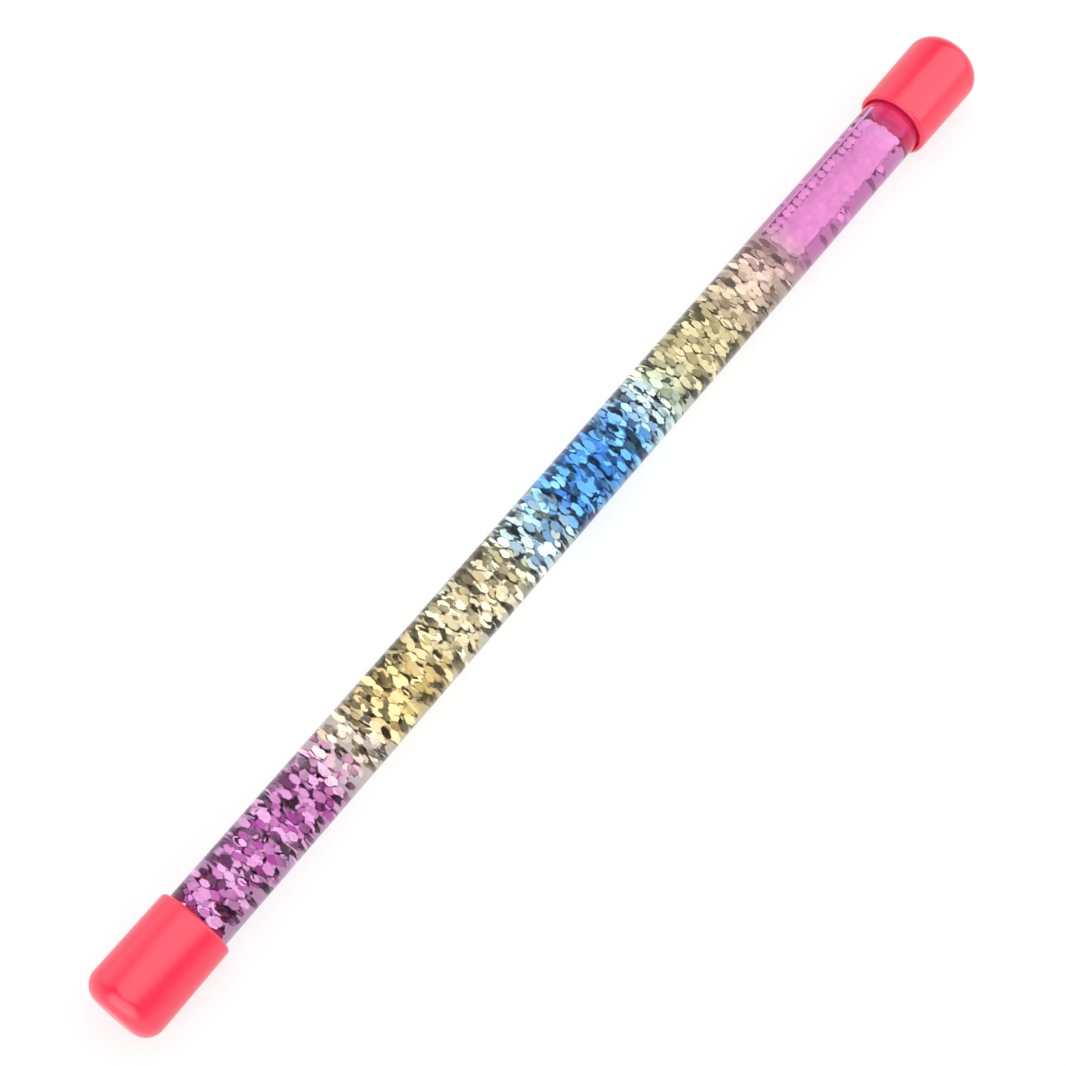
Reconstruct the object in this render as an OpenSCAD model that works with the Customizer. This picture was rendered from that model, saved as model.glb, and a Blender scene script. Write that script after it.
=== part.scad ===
// Toy magic wand: a sealed clear tube of liquid and glitter with a push-on cap on each end.
// The wand lies along X on its two caps, with the air bubble at the +X end and +Z up.

/* [Tube] */
// Outside diameter of the clear tube
tube_d = 16; // [12:0.5:24]
// Wall thickness of the tube
tube_wall = 1.2; // [0.8:0.1:2]
// Length of tube that shows between the two caps
visible_length = 261; // [120:1:400]
// Bevel on the tube's cut ends
tube_bevel = 0.3; // [0.1:0.1:0.5]

/* [Caps] */
// Thickness of a cap's skirt at its open rim
cap_wall = 1.25; // [1:0.05:2.5]
// Angle at which a cap widens toward its closed end
cap_flare = 0.6; // [0:0.1:2]
// Length of a cap from rim to closed end
cap_length = 26.1; // [20:0.1:40]
// Round on the outer corner of the closed end
cap_corner_r = 4.6; // [2:0.1:5]
// Round on the outer edge of the open rim
cap_rim_r = 0.9; // [0.3:0.1:0.9]
// Thickness of the closed end
cap_end_wall = 2; // [1.5:0.1:3]
// Depth of the hollow inside a cap, from the plug to the closed end
cap_hollow = 5.1; // [3:0.1:8]
// Width of the ledge inside a cap that stops on the plug
cap_ledge = 1.6; // [1:0.1:2.5]
// Bevel on the inner edge of the rim
cap_lead_in = 0.3; // [0.1:0.1:0.4]

/* [Glue] */
// Radial gap between the tube and the cap's bore that the glue fills
glue_gap = 0.2; // [0.1:0.05:0.4]
// Distance from the cap's rim to the glue ring
glue_setback = 2.5; // [1:0.5:4]
// Distance from the glue ring to the end of the tube
glue_end_gap = 3; // [1:0.5:4]

/* [Plugs] */
// Thickness of the plug's flange on the tube's end
flange_t = 1.5; // [1:0.1:2.5]
// Distance from the cap's rim back to the plug's inner face
plug_setback = 0.6; // [0:0.1:3]
// Depth by which the plug's waist lies under its sealing ribs
rib_height = 0.45; // [0.2:0.05:0.8]
// Length of one sealing rib
rib_length = 1.6; // [0.8:0.1:2]
// Number of sealing ribs on a plug
rib_count = 3; // [1:1:4]
// Wall of the hollow plug
plug_wall = 1.6; // [1:0.1:2.5]

/* [Tint film] */
// Thickness of the tinted film that lines the tube
film_t = 0.15; // [0.1:0.05:0.3]
// Width of the gap at the film's lengthwise seam
film_seam = 1.2; // [0.4:0.1:3]

/* [Liquid] */
// Length of the air bubble, from the upper plug to its nose
bubble_length = 47; // [20:1:80]
// Height of the liquid's surface under the bubble, above the tube's axis
waterline = 3.8; // [2:0.1:4.5]

/* [Glitter] */
// Width across the flats of a six-sided glitter flake
flake_d = 2.2; // [1.2:0.1:2.6]
// Thickness of a flake
flake_t = 0.1; // [0.05:0.05:0.2]
// Free gap between rows of flakes along the tube
row_gap = 0.46; // [0.4:0.02:3]
// Least free gap between neighbouring flakes around the tube
column_gap = 0.26; // [0.2:0.02:2]
// Steepest tilt of a flake from the wall that it has settled on
flake_tilt = 18; // [0:1:30]
// Most that a flake is turned in its own plane
flake_spin = 30; // [0:1:30]
// Angle from straight down to the edge of the settled flakes on the -Y side
bed_near_angle = 40; // [10:1:80]
// Angle from straight down to the edge of the settled flakes on the +Y side
bed_far_angle = 95; // [40:1:110]
// Number of flakes that float at the edge of the bubble
floater_count = 11; // [1:1:12]
// Distance from each end of the bubble to the floating flakes
floater_margin = 3.8; // [2:0.1:8]
// Turn from one floating flake to the next
floater_spin = 17; // [0:1:60]

/* [Colour bands] */
// End of the violet band, as a share of the visible tube from the lower cap
violet_share = 0.185; // [0.1:0.005:0.25]
// End of the gold band, as a share of the visible tube
gold_share = 0.42; // [0.3:0.005:0.5]
// End of the blue band, as a share of the visible tube
blue_share = 0.625; // [0.55:0.005:0.67]
// End of the olive band, as a share of the visible tube
olive_share = 0.73; // [0.7:0.005:0.77]
// End of the peach band, as a share of the visible tube
peach_share = 0.82; // [0.8:0.005:0.9]

/* [Clearances] */
// Radial clearance of the plug and the film in the tube
bore_clearance = 0.03; // [0.02:0.01:0.06]
// Clearance of the glue ring on each side
glue_clearance = 0.02; // [0.01:0.01:0.04]
// Clearance between the liquid and what holds it
liquid_clearance = 0.1; // [0.05:0.01:0.1]
// Clearance between a flake and the liquid around it
flake_clearance = 0.05; // [0.02:0.01:0.1]
// Least thickness of liquid outside a settled flake
skin_clearance = 0.15; // [0.1:0.01:0.3]

/* [Hidden] */
$fn = 96;
eps = 0.01;

// Stations along the wand, from its middle
rim_x = visible_length / 2;
skirt_depth = cap_length - flange_t - cap_hollow - cap_end_wall;
tube_end_x = rim_x + skirt_depth;
plug_face_x = rim_x + plug_setback;
film_end_x = plug_face_x - bore_clearance;
liquid_end_x = plug_face_x - liquid_clearance;

// Radii about the tube's axis
tube_r = tube_d / 2;
bore_r = tube_r - tube_wall;
plug_r = bore_r - bore_clearance;
film_r = bore_r - bore_clearance;
film_inner_r = film_r - film_t;
liquid_r = film_inner_r - liquid_clearance;
cap_bore_r = tube_r + glue_gap;
cap_rim_outer_r = cap_bore_r + cap_wall;

// The two round corners of a cap's outline touch its flared side
rim_round_r = cap_rim_outer_r + (cap_rim_r * sin(cap_flare) - cap_rim_r) / cos(cap_flare);
corner_z = cap_length - cap_corner_r;
corner_centre_r = cap_rim_outer_r + (corner_z * sin(cap_flare) - cap_corner_r) / cos(cap_flare);
cap_max_r = corner_centre_r + cap_corner_r;

// The wand rests on the widest ring of its caps
axis_height = cap_max_r;

// Sealing ribs stand at equal steps along a plug
plug_length = skirt_depth - plug_setback;
rib_step = plug_length / (rib_count + 0.5);

// Flakes settle on the lower wall, far enough in to stay inside the liquid at their steepest tilt
flake_r = flake_d / 2 / cos(30);
cell_r = flake_r + flake_clearance;
bed_outer_r = liquid_r - skin_clearance;
bed_r = sqrt(bed_outer_r * bed_outer_r - cell_r * cell_r) - cell_r * sin(flake_tilt) - flake_t;
column_angle = 2 * asin((cell_r + column_gap / 2) / bed_r);
bed_angle = bed_near_angle + bed_far_angle;
column_count = max(1, floor(bed_angle / column_angle));
bed_length = 2 * (liquid_end_x - cell_r - skin_clearance);
row_count = floor(bed_length / (2 * cell_r + row_gap));
draws_per_flake = 4;
jitter_seed = 7;
jitter = rands(-1, 1, draws_per_flake * row_count * column_count, jitter_seed);
row_play = row_gap / 2;
floater_pitch = (bubble_length - 2 * floater_margin) / (floater_count + 1);

function row_x(row) = -bed_length / 2 + bed_length * (row + 0.5) / row_count;
function column_turn(column) = bed_angle * (column + 0.5) / column_count - bed_near_angle;
function band_x(share) = rim_x * (2 * share - 1);

// Sets children that are drawn round Z, with the wand's middle at 0, on the wand's axis along X
module on_axis() {
    translate([0, 0, axis_height]) rotate([0, 90, 0]) children();
}

// As on_axis, mirrored to the lower end when side is -1
module at_end(side) {
    translate([0, 0, axis_height]) mirror([side < 0 ? 1 : 0, 0, 0]) rotate([0, 90, 0]) children();
}

// Clear tube with bevelled ends
module tube() {
    color("white", 0.3) on_axis() rotate_extrude() polygon([
        [bore_r, -tube_end_x + tube_bevel], [bore_r + tube_bevel, -tube_end_x],
        [tube_r - tube_bevel, -tube_end_x], [tube_r, -tube_end_x + tube_bevel],
        [tube_r, tube_end_x - tube_bevel], [tube_r - tube_bevel, tube_end_x],
        [bore_r + tube_bevel, tube_end_x], [bore_r, tube_end_x - tube_bevel]]);
}

// Rolled sheet of tinted film, open along a seam underneath
module tint_film() {
    color("plum", 0.5) difference() {
        on_axis() cylinder(h = 2 * film_end_x, r = film_r, center = true);
        on_axis() cylinder(h = 2 * film_end_x + 2, r = film_inner_r, center = true);
        translate([0, 0, axis_height - film_r]) cube([2 * film_end_x + 2, film_seam, film_r], center = true);
    }
}

// Hollow stopper: a flange on the tube's end, a waist with sealing ribs and a closed inner face
module plug() {
    waist_r = plug_r - rib_height;
    rotate_extrude() difference() {
        union() {
            translate([0, plug_face_x]) square([waist_r, plug_length + eps]);
            translate([0, tube_end_x]) square([tube_r, flange_t]);
            for (rib = [1 : rib_count]) {
                translate([0, plug_face_x + (rib - 0.5) * rib_step]) plug_rib(waist_r);
            }
        }
        translate([0, plug_face_x + plug_wall]) square([waist_r - plug_wall, plug_length + flange_t]);
    }
}

// Outline of one sealing rib, bevelled so that it slides into the tube
module plug_rib(waist_r) {
    polygon([[0, -rib_length / 2], [waist_r, -rib_length / 2], [plug_r, -rib_length / 2 + rib_height],
        [plug_r, rib_length / 2 - rib_height / 2], [waist_r, rib_length / 2], [0, rib_length / 2]]);
}

module lower_plug() { color("crimson") at_end(-1) plug(); }
module upper_plug() { color("crimson") at_end(1) plug(); }

// Thin sleeve of glue between the tube and the cap's skirt
module glue_ring() {
    glue_length = skirt_depth - glue_setback - glue_end_gap;
    translate([0, 0, rim_x + glue_setback]) difference() {
        cylinder(h = glue_length, r = cap_bore_r - glue_clearance);
        translate([0, 0, -1]) cylinder(h = glue_length + 2, r = tube_r + glue_clearance);
    }
}

module lower_glue_ring() { color("ivory") at_end(-1) glue_ring(); }
module upper_glue_ring() { color("ivory") at_end(1) glue_ring(); }

// Outline of a cap: round rim, flared side and large round corner at the closed end
module cap_outline() {
    translate([rim_round_r, cap_rim_r]) circle(cap_rim_r);
    translate([corner_centre_r, corner_z]) circle(cap_corner_r);
    polygon([[0, 0], [rim_round_r, 0],
        [rim_round_r + cap_rim_r * cos(cap_flare), cap_rim_r - cap_rim_r * sin(cap_flare)],
        [corner_centre_r + cap_corner_r * cos(cap_flare), corner_z - cap_corner_r * sin(cap_flare)],
        [corner_centre_r, cap_length], [0, cap_length]]);
}

// Room inside a cap: lead-in bevel, skirt bore down to the plug's flange, then the hollow past the ledge
module cap_room() {
    seat_z = skirt_depth + flange_t;
    hollow_r = cap_bore_r - cap_ledge;
    hollow_round = cap_corner_r - cap_end_wall;
    hollow_end = cap_length - cap_end_wall;
    polygon([[0, -1], [cap_bore_r + cap_lead_in, -1], [cap_bore_r + cap_lead_in, 0],
        [cap_bore_r, cap_lead_in], [cap_bore_r, seat_z], [hollow_r, seat_z],
        [hollow_r, hollow_end - hollow_round], [hollow_r - hollow_round, hollow_end], [0, hollow_end]]);
}

module cap() {
    translate([0, 0, rim_x]) rotate_extrude() difference() {
        intersection() {
            cap_outline();
            square([2 * cap_max_r, 2 * cap_length]);
        }
        cap_room();
    }
}

module lower_cap() { color("tomato") at_end(-1) cap(); }
module upper_cap() { color("tomato") at_end(1) cap(); }

// One flake of the settled bed, grown by a margin
module settled_flake(row, column, margin) {
    n = draws_per_flake * (row * column_count + column);
    translate([row_x(row) + jitter[n] * row_play, 0, axis_height])
        rotate([column_turn(column), 0, 0])
            translate([0, 0, -bed_r])
                rotate([jitter[n + 1] * flake_tilt, jitter[n + 2] * flake_tilt, jitter[n + 3] * flake_spin])
                    cylinder(h = flake_t + 2 * margin, r = flake_r + margin, center = true, $fn = 6);
}

// All settled flakes whose row lies between two stations
module settled_flakes(start_x, end_x, margin = 0) {
    for (row = [0 : row_count - 1]) {
        if (row_x(row) >= start_x && row_x(row) < end_x) {
            for (column = [0 : column_count - 1]) settled_flake(row, column, margin);
        }
    }
}

module glitter_violet() { color("mediumorchid") settled_flakes(-tube_end_x, band_x(violet_share)); }
module glitter_gold() { color("gold") settled_flakes(band_x(violet_share), band_x(gold_share)); }
module glitter_blue() { color("dodgerblue") settled_flakes(band_x(gold_share), band_x(blue_share)); }
module glitter_olive() { color("khaki") settled_flakes(band_x(blue_share), band_x(olive_share)); }
module glitter_peach() { color("peachpuff") settled_flakes(band_x(olive_share), band_x(peach_share)); }
module glitter_pink() { color("violet") settled_flakes(band_x(peach_share), tube_end_x); }

// Flakes that lie flat on the liquid along the bubble's +Y edge
module floating_glitter() {
    edge_y = sqrt(liquid_r * liquid_r - waterline * waterline);
    rest_z = axis_height + waterline + flake_clearance;
    color("thistle") for (n = [1 : floater_count]) {
        translate([plug_face_x - floater_margin - n * floater_pitch, edge_y - 2 * flake_r, rest_z])
            rotate([0, 0, floater_spin * n]) cylinder(h = flake_t, r = flake_r, $fn = 6);
    }
}

// Air bubble over the liquid: flat underneath, with a round nose toward the wand's middle
module bubble() {
    nose_r = sqrt(liquid_r * liquid_r - waterline * waterline);
    nose_x = liquid_end_x - bubble_length + nose_r;
    translate([0, 0, axis_height + waterline]) linear_extrude(liquid_r) {
        translate([nose_x, 0]) circle(nose_r);
        translate([nose_x, -liquid_r]) square([bubble_length, 2 * liquid_r]);
    }
}

// Liquid that fills the tube between the plugs, with the bubble and a pocket for each settled flake
module liquid() {
    color("lavender", 0.4) difference() {
        on_axis() cylinder(h = 2 * liquid_end_x, r = liquid_r, center = true);
        bubble();
        settled_flakes(-tube_end_x, tube_end_x, flake_clearance);
    }
}

tube();
tint_film();
liquid();
glitter_violet();
glitter_gold();
glitter_blue();
glitter_olive();
glitter_peach();
glitter_pink();
floating_glitter();
lower_plug();
upper_plug();
lower_glue_ring();
upper_glue_ring();
lower_cap();
upper_cap();
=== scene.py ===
import math
import random

import bmesh
import bpy
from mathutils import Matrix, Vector


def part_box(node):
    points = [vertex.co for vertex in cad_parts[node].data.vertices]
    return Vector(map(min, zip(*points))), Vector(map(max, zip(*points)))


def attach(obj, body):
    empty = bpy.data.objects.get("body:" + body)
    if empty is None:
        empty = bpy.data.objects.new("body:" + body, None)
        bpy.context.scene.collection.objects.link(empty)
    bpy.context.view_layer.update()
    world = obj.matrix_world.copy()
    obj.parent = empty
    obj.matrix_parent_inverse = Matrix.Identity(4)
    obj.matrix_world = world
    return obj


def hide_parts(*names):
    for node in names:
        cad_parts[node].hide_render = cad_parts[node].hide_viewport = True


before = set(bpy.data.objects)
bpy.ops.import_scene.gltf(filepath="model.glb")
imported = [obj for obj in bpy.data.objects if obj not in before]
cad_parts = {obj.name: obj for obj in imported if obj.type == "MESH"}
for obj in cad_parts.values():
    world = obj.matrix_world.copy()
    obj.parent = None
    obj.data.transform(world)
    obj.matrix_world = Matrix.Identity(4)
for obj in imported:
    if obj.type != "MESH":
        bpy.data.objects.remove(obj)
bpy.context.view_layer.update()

MM = 0.001

# Sizes taken from the solids
tube_low, tube_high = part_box("tube")
film_low, film_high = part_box("tint_film")
liquid_low, liquid_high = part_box("liquid")
cap_low, cap_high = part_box("upper_cap")
plug_low, plug_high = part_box("upper_plug")
axis_z = (tube_low.z + tube_high.z) / 2
tube_r = (tube_high.z - tube_low.z) / 2
tube_end_x = tube_high.x
film_r = (film_high.y - film_low.y) / 2
film_end_x = film_high.x
liquid_r = (liquid_high.y - liquid_low.y) / 2
liquid_end_x = liquid_high.x
rim_x = cap_low.x
cap_length = cap_high.x - cap_low.x
plug_face_x = plug_low.x
flange_end_x = plug_high.x

# Sizes that the boxes don't give
TUBE_WALL = 1.2 * MM
TUBE_BEVEL = 0.3 * MM
FILM_THICKNESS = 0.15 * MM
FILM_SEAM = 0.1 * MM
GLUE_GAP = 0.2 * MM
CAP_WALL = 1.25 * MM
CAP_FLARE = math.radians(0.6)
CAP_CORNER = 4.6 * MM
CAP_RIM_ROUND = 0.9 * MM
CAP_LEAD_IN = 0.3 * MM
CAP_LEDGE = 1.6 * MM
CAP_END_WALL = 2 * MM
PLUG_CLEARANCE = 0.03 * MM
PLUG_WALL = 1.6 * MM
# The photograph shows the upper stopper's face this much further in than the solid's
STOPPER_REACH = 1.6 * MM
RIB_HEIGHT = 0.45 * MM
RIB_LENGTH = 1.6 * MM
RIB_COUNT = 3
WATERLINE = 3.8 * MM
BUBBLE_LENGTH = 51 * MM
FLAKE_WIDTH = 2.05 * MM
FLAKE_THICKNESS = 0.05 * MM

bore_r = tube_r - TUBE_WALL
ROUND_STEPS = 144
RIM_STEPS = 8
CORNER_STEPS = 20
# Faces that meet at more than this many degrees keep a sharp edge
SHARP_ANGLE = 32

# Refractive index of the tube's plastic and of the liquid
TUBE_INDEX = 1.56
LIQUID_INDEX = 1.41


# Meshes

def lit_through(piece):
    """Lets light from the lamps and the floor straight through a clear piece.

    Without this it would cast a dark shadow on what lies inside."""
    piece.visible_shadow = False
    piece.visible_diffuse = False


def finish_mesh(name, builder, materials, sharp_angle=SHARP_ANGLE):
    """Turns a bmesh into a smooth-shaded object with its true corners kept sharp."""
    mesh = bpy.data.meshes.new(name)
    builder.to_mesh(mesh)
    builder.free()
    for polygon in mesh.polygons:
        polygon.use_smooth = True
    mesh.set_sharp_from_angle(angle=math.radians(sharp_angle))
    for material in materials:
        mesh.materials.append(material)
    piece = bpy.data.objects.new(name, mesh)
    bpy.context.collection.objects.link(piece)
    return piece


def arc(centre_x, centre_r, radius, start, stop, steps):
    """Points (x, r) on an arc, with angles in radians from the +x direction."""
    points = []
    for step in range(steps + 1):
        angle = start + (stop - start) * step / steps
        points.append((centre_x + radius * math.cos(angle), centre_r + radius * math.sin(angle)))
    return points


def turned(outline, slots=None, closed=False, start=0.0, sweep=2 * math.pi):
    """A bmesh turned about the wand's axis from points (x, r); angle 0 is straight down.

    slots gives the material of each stretch of the outline. A sweep short of a full turn gets end faces."""
    builder = bmesh.new()
    full = sweep > 2 * math.pi - 1e-6
    columns = ROUND_STEPS if full else ROUND_STEPS + 1
    rings = []
    for x, r in outline:
        if r < 1e-9:
            rings.append([builder.verts.new((x, 0, axis_z))])
            continue
        ring = []
        for column in range(columns):
            angle = start + sweep * column / ROUND_STEPS
            ring.append(builder.verts.new((x, r * math.sin(angle), axis_z - r * math.cos(angle))))
        rings.append(ring)
    count = len(rings)
    for stretch in range(count if closed else count - 1):
        first, second = rings[stretch], rings[(stretch + 1) % count]
        for column in range(ROUND_STEPS):
            following = (column + 1) % columns
            corners = [first[column % len(first)], second[column % len(second)],
                       second[following % len(second)], first[following % len(first)]]
            face = builder.faces.new(list(dict.fromkeys(corners)))
            face.material_index = slots[stretch] if slots else 0
    if not full:
        builder.faces.new([ring[0] for ring in rings])
        builder.faces.new([ring[-1] for ring in rings])
    bmesh.ops.recalc_face_normals(builder, faces=builder.faces)
    return builder


def mirrored(outline, side):
    """The outline at the upper end, or at the lower end when side is -1."""
    return [(side * x, r) for x, r in outline]


# Node trees

def place(tree, kind, settings=None, inputs=None):
    """Adds a node, with its own settings and with values or feeding sockets for its inputs."""
    node = tree.nodes.new(kind)
    for key, value in (settings or {}).items():
        setattr(node, key, value)
    for key, value in (inputs or {}).items():
        if isinstance(value, bpy.types.NodeSocket):
            tree.links.new(value, node.inputs[key])
        else:
            node.inputs[key].default_value = value
    return node


def new_material(name):
    """An empty material and its node tree."""
    material = bpy.data.materials.new(name)
    material.use_nodes = True
    material.node_tree.nodes.clear()
    return material, material.node_tree


def set_surface(tree, shader):
    place(tree, "ShaderNodeOutputMaterial", None, {"Surface": shader})


def new_group(name, inputs, outputs):
    """An empty shader group with named sockets, and its two end nodes."""
    tree = bpy.data.node_groups.new(name, "ShaderNodeTree")
    for socket_name, kind in inputs:
        tree.interface.new_socket(socket_name, in_out="INPUT", socket_type=kind)
    for socket_name, kind in outputs:
        tree.interface.new_socket(socket_name, in_out="OUTPUT", socket_type=kind)
    return tree, tree.nodes.new("NodeGroupInput"), tree.nodes.new("NodeGroupOutput")


# Marks per metre in moulded plastic: flow marks, which are long along the wand, and the mould's grain
FLOW_MARKS = (60, 220, 220)
MOULD_GRAIN = 3200.0
# A drawn piece's lines are this many times as long as they are wide
DRAWN_STRETCH = 80.0


def moulded_plastic_group():
    """Fine grain of a spark-eroded mould, with faint flow marks in colour and gloss."""
    tree, given, made = new_group(
        "moulded_plastic",
        [("Colour", "NodeSocketColor"), ("Flow colour", "NodeSocketColor"), ("Roughness", "NodeSocketFloat"),
         ("Roughness spread", "NodeSocketFloat")],
        [("Colour", "NodeSocketColor"), ("Roughness", "NodeSocketFloat"), ("Height", "NodeSocketFloat")])
    where = place(tree, "ShaderNodeTexCoord").outputs["Object"]
    flow_place = place(tree, "ShaderNodeMapping", None, {"Vector": where, "Scale": FLOW_MARKS})
    flow = place(tree, "ShaderNodeTexNoise", None,
                 {"Vector": flow_place.outputs[0], "Scale": 1.0, "Detail": 3.0, "Roughness": 0.55})
    grain = place(tree, "ShaderNodeTexNoise", None,
                  {"Vector": where, "Scale": MOULD_GRAIN, "Detail": 2.0, "Roughness": 0.6})
    colour = place(tree, "ShaderNodeMix", {"data_type": "RGBA"},
                   {"Factor": flow.outputs["Fac"], 6: given.outputs["Colour"],
                    7: given.outputs["Flow colour"]})
    centred = place(tree, "ShaderNodeMath", {"operation": "SUBTRACT"}, {0: flow.outputs["Fac"], 1: 0.5})
    gloss = place(tree, "ShaderNodeMath", {"operation": "MULTIPLY_ADD"},
                  {0: centred.outputs[0], 1: given.outputs["Roughness spread"],
                   2: given.outputs["Roughness"]})
    tree.links.new(colour.outputs[2], made.inputs["Colour"])
    tree.links.new(gloss.outputs[0], made.inputs["Roughness"])
    tree.links.new(grain.outputs["Fac"], made.inputs["Height"])
    return tree


def drawn_plastic_group():
    """Long faint lines that a drawn tube or film carries along its length."""
    tree, given, made = new_group(
        "drawn_plastic",
        [("Line width", "NodeSocketFloat")],
        [("Lines", "NodeSocketFloat")])
    where = place(tree, "ShaderNodeTexCoord").outputs["Object"]
    per_metre = place(tree, "ShaderNodeMath", {"operation": "DIVIDE"},
                      {0: 1.0, 1: given.outputs["Line width"]})
    along = place(tree, "ShaderNodeMath", {"operation": "DIVIDE"},
                  {0: per_metre.outputs[0], 1: DRAWN_STRETCH})
    scale = place(tree, "ShaderNodeCombineXYZ", None,
                  {"X": along.outputs[0], "Y": per_metre.outputs[0], "Z": per_metre.outputs[0]})
    stretched = place(tree, "ShaderNodeMapping", None, {"Vector": where, "Scale": scale.outputs[0]})
    lines = place(tree, "ShaderNodeTexNoise", None,
                  {"Vector": stretched.outputs[0], "Scale": 1.0, "Detail": 2.0, "Roughness": 0.5})
    tree.links.new(lines.outputs["Fac"], made.inputs["Lines"])
    return tree


moulded_plastic = moulded_plastic_group()
drawn_plastic = drawn_plastic_group()


RED_GLOSS_SPREAD = 0.08
RED_GRAIN_BUMP = 0.15
RED_GRAIN_DEPTH = 0.012 * MM
RED_INDEX = 1.6
RED_SHINE = 0.75


def red_plastic(name, colour, flow_colour, roughness):
    """Satin moulded plastic."""
    material, tree = new_material(name)
    plastic = place(tree, "ShaderNodeGroup", {"node_tree": moulded_plastic},
                    {"Colour": colour, "Flow colour": flow_colour, "Roughness": roughness,
                     "Roughness spread": RED_GLOSS_SPREAD})
    bump = place(tree, "ShaderNodeBump", None,
                 {"Strength": RED_GRAIN_BUMP, "Distance": RED_GRAIN_DEPTH,
                  "Height": plastic.outputs["Height"]})
    shader = place(tree, "ShaderNodeBsdfPrincipled", None,
                   {"Base Color": plastic.outputs["Colour"], "Roughness": plastic.outputs["Roughness"],
                    "Normal": bump.outputs["Normal"], "IOR": RED_INDEX, "Specular IOR Level": RED_SHINE})
    set_surface(tree, shader.outputs[0])
    return material


CLEAR = (1, 1, 1, 1)
SKIN_LINE_WIDTH = 0.9 * MM
BORE_LINE_WIDTH = 1.2 * MM
DRAWN_BUMP = 0.25
DRAWN_DEPTH = 0.01 * MM
SKIN_ROUGHNESS = 0.02
# The photograph shows the skin's reflections this faint
SKIN_REFLECTION = (0.08, 0.08, 0.08, 1)


def drawn_normal(tree, line_width):
    """Normal of a face that carries a drawn tube's faint lines."""
    drawn = place(tree, "ShaderNodeGroup", {"node_tree": drawn_plastic}, {"Line width": line_width})
    bump = place(tree, "ShaderNodeBump", None,
                 {"Strength": DRAWN_BUMP, "Distance": DRAWN_DEPTH, "Height": drawn.outputs["Lines"]})
    return bump.outputs["Normal"]


def clear_tube_skin():
    """Polished outside of the clear tube, with faint draw lines."""
    material, tree = new_material("clear_tube_skin")
    shader = place(tree, "ShaderNodeBsdfPrincipled", None,
                   {"Base Color": CLEAR, "Roughness": SKIN_ROUGHNESS, "IOR": TUBE_INDEX,
                    "Transmission Weight": 1.0, "Specular Tint": SKIN_REFLECTION,
                    "Normal": drawn_normal(tree, SKIN_LINE_WIDTH)})
    set_surface(tree, shader.outputs[0])
    return material


def wetted_bore():
    """Inside of the tube, where its plastic meets the liquid and bends light a little."""
    material, tree = new_material("wetted_bore")
    shader = place(tree, "ShaderNodeBsdfPrincipled", None,
                   {"Base Color": CLEAR, "Roughness": 0.0, "IOR": TUBE_INDEX / LIQUID_INDEX,
                    "Transmission Weight": 1.0, "Normal": drawn_normal(tree, BORE_LINE_WIDTH)})
    set_surface(tree, shader.outputs[0])
    return material


def wetted_clear(name):
    """A clear face that liquid or film touches, which bends no light."""
    material, tree = new_material(name)
    clear = place(tree, "ShaderNodeBsdfTransparent", None, {"Color": CLEAR})
    set_surface(tree, clear.outputs[0])
    return material


RIPPLES_PER_METRE = 300.0
RIPPLE_BUMP = 0.2
RIPPLE_DEPTH = 0.03 * MM


def bubble_skin():
    """Surface between the liquid and the air bubble."""
    material, tree = new_material("bubble_skin")
    where = place(tree, "ShaderNodeTexCoord").outputs["Object"]
    ripple = place(tree, "ShaderNodeTexNoise", None,
                   {"Vector": where, "Scale": RIPPLES_PER_METRE, "Detail": 1.0})
    bump = place(tree, "ShaderNodeBump", None,
                 {"Strength": RIPPLE_BUMP, "Distance": RIPPLE_DEPTH, "Height": ripple.outputs["Fac"]})
    shader = place(tree, "ShaderNodeBsdfPrincipled", None,
                   {"Base Color": CLEAR, "Roughness": 0.0, "IOR": LIQUID_INDEX, "Transmission Weight": 1.0,
                    "Normal": bump.outputs["Normal"]})
    set_surface(tree, shader.outputs[0])
    return material


# Colour of light that passes the film on its way in and out
VIOLET = (0.65, 0.35, 0.60)
MAUVE = (0.80, 0.70, 0.65)
GOLD = (0.85, 0.70, 0.35)
PALE = (0.85, 0.80, 0.60)
ICE = (0.70, 0.90, 0.80)
BLUE = (0.15, 0.50, 0.95)
OLIVE = (0.75, 0.65, 0.40)
PEACH = (0.70, 0.55, 0.45)
PINK = (0.80, 0.25, 0.60)
# Over the upper stopper the film is lighter than the pink band: partly the film's rose tint, partly painted
# light that brightens the stopper seen through it
ROSE_AND_PAINTED_LIGHT = (0.90, 0.35, 0.75)
# Each band's two ends along the wand in mm; the colours blend between one band and the next
BANDS = [(-130, -92, VIOLET), (-84, -77, MAUVE), (-70, -58, GOLD), (-46, -25, PALE), (-18, -9, ICE),
         (-4, 18, BLUE), (25, 31, ICE), (42, 58, OLIVE), (68, 78, PEACH), (87, 119, PINK), (126, 130, ROSE_AND_PAINTED_LIGHT)]
# Light passes the film on its way in and on its way out, through two faces each time
FILM_CROSSINGS = 4
BAND_CLOUDS_PER_METRE = 160.0
BAND_WANDER = 4 * MM
STREAK_WIDTH = 1.4 * MM
STREAK_DARKEST = 0.965


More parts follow.
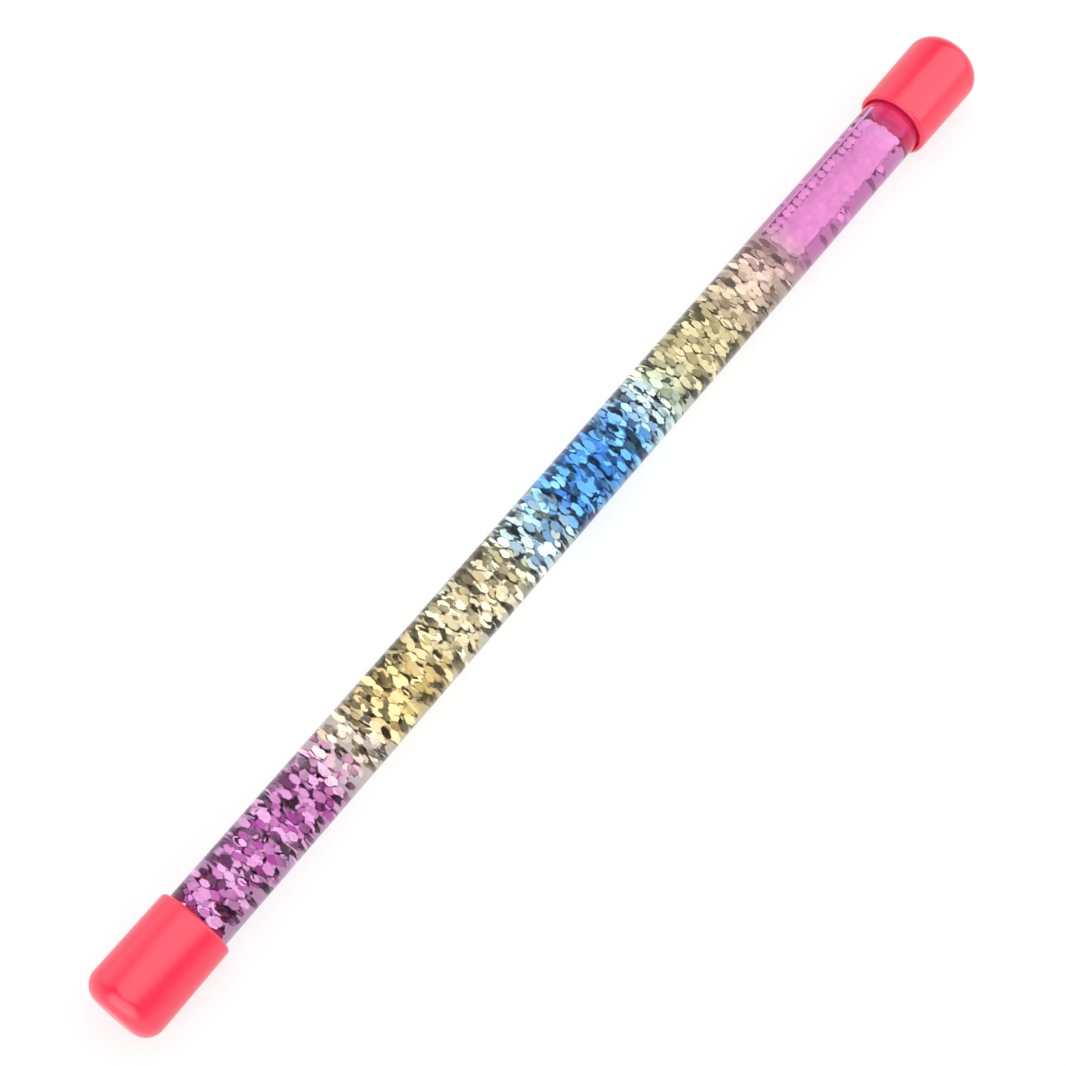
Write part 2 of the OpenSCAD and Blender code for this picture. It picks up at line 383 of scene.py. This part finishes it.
def band_film():
    """Tinted film: soft-edged colour bands along the wand, a little streaked."""
    material, tree = new_material("band_film")
    where = place(tree, "ShaderNodeTexCoord").outputs["Object"]
    along = place(tree, "ShaderNodeSeparateXYZ", None, {"Vector": where})
    cloud = place(tree, "ShaderNodeTexNoise", None,
                  {"Vector": where, "Scale": BAND_CLOUDS_PER_METRE, "Detail": 2.0})
    wander = place(tree, "ShaderNodeMath", {"operation": "MULTIPLY_ADD"},
                   {0: cloud.outputs["Fac"], 1: BAND_WANDER, 2: along.outputs["X"]})
    station = place(tree, "ShaderNodeMapRange", None,
                    {"Value": wander.outputs[0], "From Min": -rim_x + BAND_WANDER / 2,
                     "From Max": rim_x + BAND_WANDER / 2})
    ramp = place(tree, "ShaderNodeValToRGB", None, {"Fac": station.outputs[0]})
    stops = ramp.color_ramp.elements
    band_ends = []
    for first_x, last_x, tint in BANDS:
        band_ends += [(first_x, tint), (last_x, tint)]
    while len(stops) < len(band_ends):
        stops.new(0.5)
    for stop, (x, tint) in zip(stops, band_ends):
        stop.position = (x * MM + rim_x) / (2 * rim_x)
        stop.color = (*[channel ** (1 / FILM_CROSSINGS) for channel in tint], 1)
    drawn = place(tree, "ShaderNodeGroup", {"node_tree": drawn_plastic}, {"Line width": STREAK_WIDTH})
    streaks = place(tree, "ShaderNodeMapRange", None,
                    {"Value": drawn.outputs["Lines"], "From Min": 0.3, "From Max": 0.7,
                     "To Min": STREAK_DARKEST, "To Max": 1.0})
    streaked = place(tree, "ShaderNodeVectorMath", {"operation": "SCALE"},
                     {0: ramp.outputs["Color"], "Scale": streaks.outputs[0]})
    clear = place(tree, "ShaderNodeBsdfTransparent", None, {"Color": streaked.outputs[0]})
    set_surface(tree, clear.outputs[0])
    return material


SMOOTHEST_FOIL = 0.12
CRINKLES_PER_METRE = 900.0
CRINKLE_BUMP = 0.3
CRINKLE_DEPTH = 0.05 * MM


def foil_flake(name, dull, bright, roughest, smoothest=SMOOTHEST_FOIL):
    """Foil: each flake has its own tone and gloss between a dull and a bright one, and a slight crinkle."""
    material, tree = new_material(f"{name}_foil")
    tone = place(tree, "ShaderNodeAttribute", {"attribute_name": "foil_tone"})
    ramp = place(tree, "ShaderNodeValToRGB", None, {"Fac": tone.outputs["Fac"]})
    ramp.color_ramp.elements[0].color = (*dull, 1)
    ramp.color_ramp.elements[1].color = (*bright, 1)
    gloss = place(tree, "ShaderNodeMapRange", None,
                  {"Value": tone.outputs["Fac"], "To Min": roughest, "To Max": smoothest})
    where = place(tree, "ShaderNodeTexCoord").outputs["Object"]
    crinkle = place(tree, "ShaderNodeTexNoise", None,
                    {"Vector": where, "Scale": CRINKLES_PER_METRE, "Detail": 1.0})
    bump = place(tree, "ShaderNodeBump", None,
                 {"Strength": CRINKLE_BUMP, "Distance": CRINKLE_DEPTH, "Height": crinkle.outputs["Fac"]})
    shader = place(tree, "ShaderNodeBsdfPrincipled", None,
                   {"Base Color": ramp.outputs["Color"], "Metallic": 1.0, "Roughness": gloss.outputs[0],
                    "Normal": bump.outputs["Normal"]})
    set_surface(tree, shader.outputs[0])
    return material


GLUE_HAZE = 0.12
GLUE_CLOUDS_PER_METRE = 500.0
GLUE_CLEAR = (0.97, 0.96, 0.93, 1)
GLUE_DARKER = (0.78, 0.74, 0.64, 1)
GLUE_PALER = (0.92, 0.90, 0.84, 1)


def milky_glue():
    """Set clear glue, a little cloudy."""
    material, tree = new_material("clear_glue")
    where = place(tree, "ShaderNodeTexCoord").outputs["Object"]
    cloud = place(tree, "ShaderNodeTexNoise", None,
                  {"Vector": where, "Scale": GLUE_CLOUDS_PER_METRE, "Detail": 3.0})
    ramp = place(tree, "ShaderNodeValToRGB", None, {"Fac": cloud.outputs["Fac"]})
    ramp.color_ramp.elements[0].color = GLUE_DARKER
    ramp.color_ramp.elements[1].color = GLUE_PALER
    clear = place(tree, "ShaderNodeBsdfTransparent", None, {"Color": GLUE_CLEAR})
    haze = place(tree, "ShaderNodeBsdfDiffuse", None, {"Color": ramp.outputs["Color"]})
    shader = place(tree, "ShaderNodeMixShader", None, {0: GLUE_HAZE, 1: clear.outputs[0], 2: haze.outputs[0]})
    set_surface(tree, shader.outputs[0])
    return material


red_cap_plastic = red_plastic("red_cap_plastic", (0.80, 0.004, 0.048, 1), (0.82, 0.007, 0.057, 1), 0.29)
# The stoppers' red is pinker and lighter than the caps': partly their own colour, partly painted glow
# standing in for light that passes through the translucent red plastic
plug_red_and_painted_glow = red_plastic("plug_red_and_painted_glow", (0.94, 0.036, 0.150, 1), (0.97, 0.044, 0.165, 1), 0.42)
tube_skin = clear_tube_skin()
tube_bore = wetted_bore()
liquid_wall = wetted_clear("liquid_wall")
liquid_bubble = bubble_skin()
film_bands = band_film()
set_glue = milky_glue()


# Shell of the wand

def clear_tube():
    """Tube with a polished skin and a wetted bore."""
    outline = [
        (-tube_end_x + TUBE_BEVEL, bore_r), (-tube_end_x, bore_r + TUBE_BEVEL),
        (-tube_end_x, tube_r - TUBE_BEVEL), (-tube_end_x + TUBE_BEVEL, tube_r),
        (tube_end_x - TUBE_BEVEL, tube_r), (tube_end_x, tube_r - TUBE_BEVEL),
        (tube_end_x, bore_r + TUBE_BEVEL), (tube_end_x - TUBE_BEVEL, bore_r)]
    slots = [0, 0, 0, 0, 0, 0, 0, 1]
    piece = finish_mesh("clear_tube", turned(outline, slots, closed=True), [tube_skin, tube_bore])
    lit_through(piece)
    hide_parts("tube")
    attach(piece, "shell")


def rolled_film():
    inner_r = film_r - FILM_THICKNESS
    half_seam = math.asin(FILM_SEAM / 2 / film_r)
    outline = [(-film_end_x, inner_r), (film_end_x, inner_r), (film_end_x, film_r), (-film_end_x, film_r)]
    builder = turned(outline, closed=True, start=half_seam, sweep=2 * math.pi - 2 * half_seam)
    piece = finish_mesh("rolled_film", builder, [film_bands])
    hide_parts("tint_film")
    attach(piece, "shell")


def plug_outline(reach):
    """Stopper from its closed inner face, over the sealing ribs and the flange, back into its hollow."""
    rib_r = bore_r - PLUG_CLEARANCE
    waist_r = rib_r - RIB_HEIGHT
    rib_step = (tube_end_x - plug_face_x) / (RIB_COUNT + 0.5)
    outline = [(plug_face_x - reach, 0), (plug_face_x - reach, waist_r)]
    for rib in range(RIB_COUNT):
        middle = plug_face_x + (rib + 0.5) * rib_step
        outline += [(middle - RIB_LENGTH / 2, waist_r), (middle - RIB_LENGTH / 2 + RIB_HEIGHT, rib_r),
                    (middle + RIB_LENGTH / 2 - RIB_HEIGHT / 2, rib_r), (middle + RIB_LENGTH / 2, waist_r)]
    outline += [(tube_end_x, waist_r), (tube_end_x, tube_r), (flange_end_x, tube_r),
                (flange_end_x, waist_r - PLUG_WALL), (plug_face_x + PLUG_WALL, waist_r - PLUG_WALL),
                (plug_face_x + PLUG_WALL, 0)]
    return outline


def cap_outline():
    """Cap from its hollow, over the ledge and skirt bore to the rim, and along the flared side to its end."""
    cap_bore_r = tube_r + GLUE_GAP
    rim_outer_r = cap_bore_r + CAP_WALL
    lean, upright = math.sin(CAP_FLARE), math.cos(CAP_FLARE)
    rim_centre_r = rim_outer_r + CAP_RIM_ROUND * (lean - 1) / upright
    corner_x = rim_x + cap_length - CAP_CORNER
    corner_centre_r = rim_outer_r + ((cap_length - CAP_CORNER) * lean - CAP_CORNER) / upright
    hollow_r = cap_bore_r - CAP_LEDGE
    hollow_round = CAP_CORNER - CAP_END_WALL
    hollow_end = rim_x + cap_length - CAP_END_WALL
    outline = [(hollow_end, 0), (hollow_end, hollow_r - hollow_round), (hollow_end - hollow_round, hollow_r),
               (flange_end_x, hollow_r), (flange_end_x, cap_bore_r), (rim_x + CAP_LEAD_IN, cap_bore_r),
               (rim_x, cap_bore_r + CAP_LEAD_IN)]
    side_angle = math.pi / 2 + CAP_FLARE
    outline += arc(rim_x + CAP_RIM_ROUND, rim_centre_r, CAP_RIM_ROUND, math.pi, side_angle, RIM_STEPS)
    outline += arc(corner_x, corner_centre_r, CAP_CORNER, side_angle, 0, CORNER_STEPS)
    outline.append((rim_x + cap_length, 0))
    return outline


def end_pieces():
    for end, side, reach in (("lower", -1, 0.0), ("upper", 1, STOPPER_REACH)):
        plug = finish_mesh(f"{end}_stopper", turned(mirrored(plug_outline(reach), side)), [plug_red_and_painted_glow])
        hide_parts(f"{end}_plug")
        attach(plug, "shell")
        cap = finish_mesh(f"{end}_end_cap", turned(mirrored(cap_outline(), side)), [red_cap_plastic])
        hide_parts(f"{end}_cap")
        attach(cap, "shell")
        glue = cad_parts[f"{end}_glue_ring"]
        glue.data.materials.clear()
        glue.data.materials.append(set_glue)


# Filling of the wand

BUBBLE_WET = 0.06 * MM
MENISCUS_RISE = 0.15 * MM
MENISCUS_REACH = 0.4 * MM
BUBBLE_NOSE = 3.5 * MM
NOSE_STEPS = 16
BUBBLE_STEPS = 12
ROOF_STEPS = 24
SURFACE_STEPS = 32
LIQUID_SHARP_ANGLE = 60
bubble_r = liquid_r - BUBBLE_WET
bubble_start_x = liquid_end_x - BUBBLE_LENGTH
fill_end_x = liquid_end_x - STOPPER_REACH


def bubble_stations():
    """Places along the bubble with how far it is open there, from its nose at the roof to the stopper."""
    stations = []
    for step in range(NOSE_STEPS + 1):
        angle = (1 - step / NOSE_STEPS) * math.pi / 2
        stations.append((bubble_start_x + BUBBLE_NOSE * (1 - math.sin(angle)), math.cos(angle)))
    nose_end = bubble_start_x + BUBBLE_NOSE
    for step in range(1, BUBBLE_STEPS + 1):
        stations.append((nose_end + (fill_end_x - nose_end) * step / BUBBLE_STEPS, 1.0))
    return stations


def bubble_section(openness):
    """Closed loop (y, z above the axis): over the roof, then back along the liquid's surface.

    The surface rises to the wall in a small meniscus."""
    level = bubble_r - (bubble_r - WATERLINE) * openness
    rise = min(MENISCUS_RISE, 0.5 * (bubble_r - level))
    corner_z = level + rise
    corner_angle = math.acos(min(1.0, corner_z / bubble_r))
    corner_y = bubble_r * math.sin(corner_angle)
    loop = []
    for step in range(ROOF_STEPS):
        angle = -corner_angle + 2 * corner_angle * step / ROOF_STEPS
        loop.append((bubble_r * math.sin(angle), bubble_r * math.cos(angle)))
    for step in range(SURFACE_STEPS):
        y = corner_y * math.cos(math.pi * step / SURFACE_STEPS)
        loop.append((y, level + rise * math.exp(-(corner_y - abs(y)) / MENISCUS_REACH)))
    return loop


def liquid_body():
    """Liquid between the stoppers, with the long air bubble as a hollow that is open to the upper stopper."""
    outline = [(-liquid_end_x, 0), (-liquid_end_x, liquid_r), (fill_end_x, liquid_r)]
    builder = turned(outline)
    rim = [edge for edge in builder.edges if edge.is_boundary]
    loops = []
    for x, openness in bubble_stations():
        if openness < 1e-6:
            loops.append([builder.verts.new((x, 0, axis_z + bubble_r))])
        else:
            loops.append([builder.verts.new((x, y, axis_z + z)) for y, z in bubble_section(openness)])
    skin = []
    for first, second in zip(loops, loops[1:]):
        count = max(len(first), len(second))
        for n in range(count):
            following = (n + 1) % count
            corners = [first[n % len(first)], first[following % len(first)],
                       second[following % len(second)], second[n % len(second)]]
            skin.append(builder.faces.new(list(dict.fromkeys(corners))))
    for face in skin:
        face.material_index = 1
    mouth = [edge for edge in builder.edges if edge.is_boundary and edge not in rim]
    bmesh.ops.triangle_fill(builder, use_beauty=True, edges=rim + mouth, normal=(1, 0, 0))
    bmesh.ops.recalc_face_normals(builder, faces=builder.faces)
    piece = finish_mesh("glitter_liquid", builder, [liquid_wall, liquid_bubble], LIQUID_SHARP_ANGLE)
    lit_through(piece)
    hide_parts("liquid")
    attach(piece, "fill")


def flake_tree():
    """Six-sided foil flakes on given points, each tilted and turned at random about the way it lies."""
    tree = bpy.data.node_groups.new("scattered_flakes", "GeometryNodeTree")
    sockets = {}
    for name, kind in (("Points", "NodeSocketGeometry"), ("Flake width", "NodeSocketFloat"),
                       ("Flake thickness", "NodeSocketFloat"), ("Most tilt", "NodeSocketFloat"),
                       ("Least size", "NodeSocketFloat"), ("Seed", "NodeSocketInt"),
                       ("Foil", "NodeSocketMaterial")):
        sockets[name] = tree.interface.new_socket(name, in_out="INPUT", socket_type=kind).identifier
    tree.interface.new_socket("Flakes", in_out="OUTPUT", socket_type="NodeSocketGeometry")
    given = tree.nodes.new("NodeGroupInput")
    made = tree.nodes.new("NodeGroupOutput")
    radius = place(tree, "ShaderNodeMath", {"operation": "DIVIDE"},
                   {0: given.outputs["Flake width"], 1: math.sqrt(3)})
    flake = place(tree, "GeometryNodeMeshCylinder", {"fill_type": "NGON"},
                  {"Vertices": 6, "Radius": radius.outputs[0], "Depth": given.outputs["Flake thickness"]})
    least = place(tree, "ShaderNodeMath", {"operation": "MULTIPLY"}, {0: given.outputs["Most tilt"], 1: -1.0})
    low = place(tree, "ShaderNodeCombineXYZ", None, {"X": least.outputs[0], "Y": least.outputs[0], "Z": 0.0})
    high = place(tree, "ShaderNodeCombineXYZ", None,
                 {"X": given.outputs["Most tilt"], "Y": given.outputs["Most tilt"], "Z": math.pi})
    wobble = place(tree, "FunctionNodeRandomValue", {"data_type": "FLOAT_VECTOR"},
                   {0: low.outputs[0], 1: high.outputs[0], "Seed": given.outputs["Seed"]})
    calm_seed = place(tree, "ShaderNodeMath", {"operation": "ADD"}, {0: given.outputs["Seed"], 1: 3.0})
    calm = place(tree, "FunctionNodeRandomValue", {"data_type": "FLOAT_VECTOR"},
                 {0: (0, 0, 0), 1: (1, 1, 1), "Seed": calm_seed.outputs[0]})
    calmed = place(tree, "ShaderNodeVectorMath", {"operation": "MULTIPLY"},
                   {0: wobble.outputs[0], 1: calm.outputs[0]})
    wobble_turn = place(tree, "FunctionNodeEulerToRotation", None, {0: calmed.outputs[0]})
    lie = place(tree, "GeometryNodeInputNamedAttribute", {"data_type": "FLOAT"}, {"Name": "lie"})
    lie_angles = place(tree, "ShaderNodeCombineXYZ", None, {"X": lie.outputs["Attribute"]})
    lie_turn = place(tree, "FunctionNodeEulerToRotation", None, {0: lie_angles.outputs[0]})
    turn = place(tree, "FunctionNodeRotateRotation", {"rotation_space": "LOCAL"},
                 {0: lie_turn.outputs[0], 1: wobble_turn.outputs[0]})
    size_seed = place(tree, "ShaderNodeMath", {"operation": "ADD"}, {0: given.outputs["Seed"], 1: 1.0})
    size = place(tree, "FunctionNodeRandomValue", {"data_type": "FLOAT"},
                 {2: given.outputs["Least size"], 3: 1.0, "Seed": size_seed.outputs[0]})
    spread = place(tree, "GeometryNodeInstanceOnPoints", None,
                   {"Points": given.outputs["Points"], "Instance": flake.outputs["Mesh"],
                    "Rotation": turn.outputs[0], "Scale": size.outputs[1]})
    tone_seed = place(tree, "ShaderNodeMath", {"operation": "ADD"}, {0: given.outputs["Seed"], 1: 2.0})
    tone = place(tree, "FunctionNodeRandomValue", {"data_type": "FLOAT"},
                 {2: 0.0, 3: 1.0, "Seed": tone_seed.outputs[0]})
    toned = place(tree, "GeometryNodeStoreNamedAttribute", {"data_type": "FLOAT", "domain": "INSTANCE"},
                  {"Geometry": spread.outputs[0], "Name": "foil_tone", "Value": tone.outputs[1]})
    real = place(tree, "GeometryNodeRealizeInstances", None, {0: toned.outputs[0]})
    finished = place(tree, "GeometryNodeSetMaterial", None,
                     {"Geometry": real.outputs[0], "Material": given.outputs["Foil"]})
    tree.links.new(finished.outputs[0], made.inputs[0])
    return tree, sockets


scattered_flakes, flake_sockets = flake_tree()


LEAST_FLAKE_SIZE = 0.62


def flakes_on(name, points, lies, tilt, seed, node, foil, width=FLAKE_WIDTH, least_size=LEAST_FLAKE_SIZE):
    """Makes one piece of flakes that stands for a node's glitter."""
    mesh = bpy.data.meshes.new(name)
    mesh.from_pydata(points, [], [])
    lie = mesh.attributes.new("lie", "FLOAT", "POINT")
    lie.data.foreach_set("value", lies)
    piece = bpy.data.objects.new(name, mesh)
    bpy.context.collection.objects.link(piece)
    modifier = piece.modifiers.new("flakes", "NODES")
    modifier.node_group = scattered_flakes
    values = {"Flake width": width, "Flake thickness": FLAKE_THICKNESS, "Most tilt": math.radians(tilt),
              "Least size": least_size, "Seed": seed, "Foil": foil}
    for socket_name, value in values.items():
        modifier[flake_sockets[socket_name]] = value
    depsgraph = bpy.context.evaluated_depsgraph_get()
    flat = bpy.data.meshes.new_from_object(piece.evaluated_get(depsgraph))
    piece.modifiers.remove(modifier)
    piece.data = flat
    bpy.data.meshes.remove(mesh)
    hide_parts(node)
    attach(piece, "fill")


# Settled flakes lie in a bed against the lower wall and a way up its +Y side; angles from straight down
BED_NEAR = math.radians(-34)
BED_FAR = math.radians(66)
BED_OUTER_R = 5.7 * MM
BED_DEPTH = 2.6 * MM
BED_LAYERS = 3
BED_LEAN = 0.08
BED_END_GAP_MM = 1.5
RAGGED_EDGE = math.radians(14)
RAGGED_LEAST = 0.25
FLAKE_PITCH = 1.4 * MM
BED_SEED = 20
FLAKE_SEED = 40
# Share of the bed that is filled, by place along the wand in mm
BED_FILLING = [(-130, 0.9), (-89, 0.9), (-85, 0.38), (-77, 0.38), (-72, 0.9), (66, 0.9), (76, 0.55),
               (82, 0.22), (90, 0.1)]
# Foil tones and the roughness of the dullest flakes
SILVER = (0.97, 0.96, 0.94)
GLOSSY = 0.24
MATT = 0.55


def bed_filling(x):
    """Share of the bed that is filled at a place along the wand."""
    for (first_x, first), (second_x, second) in zip(BED_FILLING, BED_FILLING[1:]):
        if x <= second_x * MM:
            return first + (second - first) * (x / MM - first_x) / (second_x - first_x)
    return BED_FILLING[-1][1]


def bed_points(start_x, end_x, slope, seed):
    """Points of a jittered lattice through the bed between two stations, with the angle a flake lies at."""
    draw = random.Random(seed)
    points, lies = [], []
    rows = max(1, round((end_x - start_x) / FLAKE_PITCH))
    for row in range(rows):
        for layer in range(BED_LAYERS):
            r = BED_OUTER_R - BED_DEPTH * layer / BED_LAYERS
            columns = round((BED_FAR - BED_NEAR) * r / FLAKE_PITCH)
            for column in range(columns):
                angle = BED_NEAR + (BED_FAR - BED_NEAR) * (column + draw.random()) / columns
                x = start_x + (end_x - start_x) * (row + draw.random()) / rows
                reach = r - draw.random() * BED_DEPTH / BED_LAYERS
                edge_share = min(1.0, (angle - BED_NEAR) / RAGGED_EDGE)
                filled = bed_filling(x) * (RAGGED_LEAST + (1 - RAGGED_LEAST) * edge_share)
                left_out = draw.random() > filled
                if left_out or x > fill_end_x - FLAKE_WIDTH / math.sqrt(3):
                    continue
                points.append((x, reach * math.sin(angle), axis_z - reach * math.cos(angle)))
                lies.append(math.radians(slope) + BED_LEAN * angle)
    return points, lies


def settled_glitter():
    # Band, its two ends along the wand in mm, the flakes' slope and most tilt in degrees,
    # the dull and the bright foil, and the dullest flakes' roughness
    end = liquid_end_x / MM - BED_END_GAP_MM
    bands = [("violet", -end, -82, 13, 42, (0.46, 0.12, 0.40), SILVER, GLOSSY),
             ("gold", -82, -21, 13, 40, (0.54, 0.47, 0.34), SILVER, GLOSSY),
             ("blue", -21, 33, 13, 40, (0.24, 0.33, 0.58), SILVER, GLOSSY),
             ("olive", 33, 60, 13, 26, (0.52, 0.52, 0.42), (0.86, 0.86, 0.82), MATT),
             ("peach", 60, 84, 13, 24, (0.66, 0.62, 0.58), SILVER, MATT),
             ("pink", 84, end, 28, 12, (0.60, 0.52, 0.58), (0.90, 0.88, 0.90), GLOSSY)]
    for n, (band, start, stop, slope, tilt, dull, bright, roughest) in enumerate(bands):
        points, lies = bed_points(start * MM, stop * MM, slope, BED_SEED + n)
        foil = foil_flake(band, dull, bright, roughest)
        flakes_on(f"{band}_flakes", points, lies, tilt, FLAKE_SEED + n, f"glitter_{band}", foil)


# Raft of floating flakes: where it starts and ends along the bubble, and its two edges across
RAFT_START = bubble_start_x + 2.5 * MM
RAFT_END = liquid_end_x - 5.6 * MM
RAFT_NEAR = -4.3 * MM
RAFT_FAR = 2.4 * MM
RAFT_ROWS = 44
RAFT_COLUMNS = 8
RAFT_SEED = 5
RAFT_FLAKE_SEED = 77
RAFT_FLAKE_WIDTH = 2.0 * MM
RAFT_LEAST_SIZE = 0.85
RAFT_TILT = 1.2
RAFT_DULL = (0.82, 0.88, 0.85)
RAFT_BRIGHT = (0.92, 0.96, 0.94)
RAFT_ROUGHEST = 0.45
RAFT_SMOOTHEST = 0.35
# Depth of its highest flakes under the surface, and how much deeper the others lie, in mm
RAFT_TOP_MM = 0.1
RAFT_DEPTH_MM = 0.2
# Two loose rows along the raft's far edge: shift along it in steps, place across and depth in mm
EDGE_ROWS = [(0.3, 3.9, 0.1), (0.8, 3.8, 1.2)]
EDGE_SCATTER = 0.4
EDGE_SPREAD_MM = 0.35
EDGE_COUNT = 20
EDGE_LIE = math.radians(5)


def floating_glitter():
    """A raft of fine flakes that lies flat on the liquid under the bubble, with loose ones at one edge."""
    draw = random.Random(RAFT_SEED)
    points, lies = [], []
    for row in range(RAFT_ROWS):
        for column in range(RAFT_COLUMNS):
            x = RAFT_START + (RAFT_END - RAFT_START) * (row + draw.random()) / RAFT_ROWS
            y = RAFT_NEAR + (RAFT_FAR - RAFT_NEAR) * (column + draw.random()) / RAFT_COLUMNS
            points.append((x, y, axis_z + WATERLINE - (RAFT_TOP_MM + RAFT_DEPTH_MM * draw.random()) * MM))
            lies.append(0.0)
    for shift, across, depth in EDGE_ROWS:
        for n in range(EDGE_COUNT):
            along = n + shift + EDGE_SCATTER * draw.random()
            x = RAFT_START + (RAFT_END - RAFT_START) * along / EDGE_COUNT
            y = (across + EDGE_SPREAD_MM * draw.random()) * MM
            points.append((x, y, axis_z + WATERLINE - depth * MM))
            lies.append(EDGE_LIE)
    foil = foil_flake("raft", RAFT_DULL, RAFT_BRIGHT, RAFT_ROUGHEST, RAFT_SMOOTHEST)
    flakes_on("floating_flakes", points, lies, RAFT_TILT, RAFT_FLAKE_SEED, "floating_glitter", foil,
              RAFT_FLAKE_WIDTH, RAFT_LEAST_SIZE)


# Stage, lamps and camera

FLOOR_SIZE = 4
FLOOR_TONE = (0.93, 0.93, 0.93, 1)
# Share of plain white in what the camera, a reflection or a clear piece shows of the floor
FLOOR_WHITENESS = 0.7
# Height and grey tone of the surround
SKY_TONES = [(0.0, 0.85), (0.25, 0.55), (0.7, 0.15)]
# Lamp, its place, the point it faces, its two sides in metres, its radiance and its turn in degrees
LAMPS = [("key_softbox", (0.35, -0.20, 0.74), (0.05, -0.02, 0), 2.0, 1.2, 1.55, -100),
         ("back_softbox", (0.1, 0.95, 0.55), (0, 0, 0), 1.4, 0.9, 0.8, 0),
         ("side_softbox", (-0.9, -0.15, 0.5), (0, 0, 0), 1.3, 0.9, 1.9, 0)]
# Camera as fitted to the photograph: place relative to the wand's axis, and the way it looks
CAMERA_PLACE = (-0.1799, -0.1312, axis_z + 0.4666)
CAMERA_AIM = (0.3235, 0.2571, -0.9107)
CAMERA_LENS = 74.81
CAMERA_SENSOR = 36
CAMERA_NEAREST = 0.01


def floor():
    """Plain pale floor that looks white and keeps the wand's shadow."""
    material, tree = new_material("pale_floor")
    rays = place(tree, "ShaderNodeLightPath")
    seen = place(tree, "ShaderNodeMath", {"operation": "MAXIMUM"},
                 {0: rays.outputs["Is Camera Ray"], 1: rays.outputs["Is Glossy Ray"]})
    shown = place(tree, "ShaderNodeMath", {"operation": "MAXIMUM"},
                  {0: seen.outputs[0], 1: rays.outputs["Is Transmission Ray"]})
    share = place(tree, "ShaderNodeMath", {"operation": "MULTIPLY"},
                  {0: shown.outputs[0], 1: FLOOR_WHITENESS})
    matt = place(tree, "ShaderNodeBsdfDiffuse", None, {"Color": FLOOR_TONE})
    white = place(tree, "ShaderNodeEmission", None, {"Color": (1, 1, 1, 1), "Strength": 1.0})
    mixed = place(tree, "ShaderNodeMixShader", None,
                  {0: share.outputs[0], 1: matt.outputs[0], 2: white.outputs[0]})
    set_surface(tree, mixed.outputs[0])
    builder = bmesh.new()
    bmesh.ops.create_grid(builder, x_segments=1, y_segments=1, size=FLOOR_SIZE)
    mesh = bpy.data.meshes.new("floor")
    builder.to_mesh(mesh)
    builder.free()
    mesh.materials.append(material)
    plane = bpy.data.objects.new("floor", mesh)
    bpy.context.collection.objects.link(plane)


def sky():
    """Studio surround: pale near the floor, dimmer overhead."""
    world = bpy.data.worlds.new("studio")
    world.use_nodes = True
    tree = world.node_tree
    tree.nodes.clear()
    where = place(tree, "ShaderNodeTexCoord").outputs["Generated"]
    height = place(tree, "ShaderNodeSeparateXYZ", None, {"Vector": where})
    ramp = place(tree, "ShaderNodeValToRGB", None, {"Fac": height.outputs["Z"]})
    stops = ramp.color_ramp.elements
    stops.new(0.5)
    for stop, (position, grey) in zip(stops, SKY_TONES):
        stop.position = position
        stop.color = (grey, grey, grey, 1)
    background = place(tree, "ShaderNodeBackground", None, {"Color": ramp.outputs["Color"], "Strength": 1.0})
    place(tree, "ShaderNodeOutputWorld", None, {"Surface": background.outputs[0]})
    bpy.context.scene.world = world


def softbox(name, place_at, aim, width, depth, radiance, turn):
    """Rectangular lamp that faces a point."""
    lamp = bpy.data.lights.new(name, "AREA")
    lamp.shape = "RECTANGLE"
    lamp.size = width
    lamp.size_y = depth
    lamp.energy = radiance * math.pi * width * depth
    lamp_object = bpy.data.objects.new(name, lamp)
    bpy.context.collection.objects.link(lamp_object)
    lamp_object.location = place_at
    lamp_object.rotation_euler = (Vector(aim) - Vector(place_at)).to_track_quat("-Z", "Y").to_euler()
    lamp_object.rotation_euler.rotate_axis("Z", math.radians(turn))
    lamp_object.visible_camera = False


def lamps():
    for lamp in LAMPS:
        softbox(*lamp)


def camera():
    """Camera at the photograph's place and angle."""
    data = bpy.data.cameras.new("camera")
    data.lens = CAMERA_LENS
    data.sensor_width = CAMERA_SENSOR
    data.clip_start = CAMERA_NEAREST
    view = bpy.data.objects.new("camera", data)
    bpy.context.collection.objects.link(view)
    view.location = CAMERA_PLACE
    view.rotation_euler = Vector(CAMERA_AIM).to_track_quat("-Z", "Y").to_euler()
    bpy.context.scene.camera = view


camera()
floor()
sky()
lamps()
clear_tube()
rolled_film()
end_pieces()
liquid_body()
settled_glitter()
floating_glitter()

bpy.context.scene.view_settings.view_transform = "Standard"
